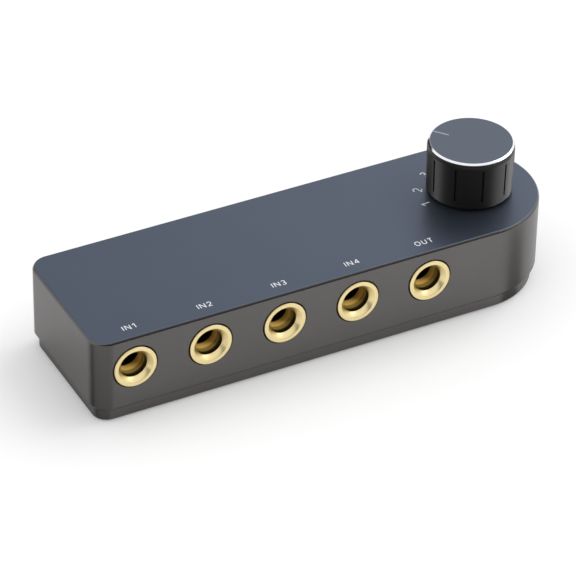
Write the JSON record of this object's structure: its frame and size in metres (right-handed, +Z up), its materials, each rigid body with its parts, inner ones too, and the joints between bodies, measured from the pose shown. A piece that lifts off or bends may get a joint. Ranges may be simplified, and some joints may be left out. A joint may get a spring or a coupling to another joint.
{
  "type": "audio selector switch box",
  "caption": "Small long metal box with a round end, gold ringed plug holes in a row along the front and a rotary selector knob on top.",
  "frame": {"origin": "bottom centre of the whole part, in the plane that the feet stand on", "axes": "+X along the case towards the round end with the knob, +Y to the back, away from the plug holes, +Z up"},
  "size_m": [0.0694, 0.0215, 0.0203],
  "materials": {
    "case_metal": "bead blasted and anodised, slate grey",
    "cover_metal": "anodised, dark warm grey",
    "steel": "bright zinc plated",
    "zinc": "die cast, satin",
    "rubber": "matt black",
    "board": "glass epoxy with green solder mask",
    "gold_plate": "polished, gold plated",
    "spring_metal": "rolled phosphor bronze",
    "black_plastic": "moulded, fine texture",
    "phenolic": "pressed brown laminate",
    "nylon": "natural moulded nylon",
    "knob_metal": "turned, glossy black side, slate top, polished edge",
    "pointer_line": "light grey filled line"
  },
  "bodies": {
    "case": {"housing": "case_metal", "base_cover": "cover_metal", "base_screws": "steel", "foot_1": "rubber", "foot_2": "rubber", "foot_3": "rubber", "foot_4": "rubber", "main_board": "board", "jack_1_bush": "gold_plate", "jack_2_bush": "gold_plate", "jack_3_bush": "gold_plate", "jack_4_bush": "gold_plate", "jack_5_bush": "gold_plate", "jack_1_body": "black_plastic", "jack_2_body": "black_plastic", "jack_3_body": "black_plastic", "jack_4_body": "black_plastic", "jack_5_body": "black_plastic", "jack_1_tip_spring": "spring_metal", "jack_2_tip_spring": "spring_metal", "jack_3_tip_spring": "spring_metal", "jack_4_tip_spring": "spring_metal", "jack_5_tip_spring": "spring_metal", "jack_1_ring_spring": "spring_metal", "jack_2_ring_spring": "spring_metal", "jack_3_ring_spring": "spring_metal", "jack_4_ring_spring": "spring_metal", "jack_5_ring_spring": "spring_metal", "switch_base": "phenolic", "switch_case": "black_plastic", "switch_rivets": "steel", "switch_bush": "zinc", "switch_washer": "steel", "switch_nut": "steel", "left_contacts": "gold_plate", "right_contacts": "gold_plate", "left_common": "gold_plate", "right_common": "gold_plate", "detent_spring": "steel"},
    "selector": {"switch_rotor": "nylon", "left_wiper": "spring_metal", "right_wiper": "spring_metal", "thrust_washer": "nylon", "switch_shaft": "steel", "knob_shell": "knob_metal", "knob_insert": "black_plastic", "knob_pointer": "pointer_line"}
  },
  "joints": [
    {"name": "selector_turn", "type": "hinge", "parent": "case", "child": "selector", "pos_m": [0.02544, 0, 0.0127], "axis": [0, 0, 1], "range_deg": [-30, 60], "deforming": ["detent_spring"]}
  ]
}
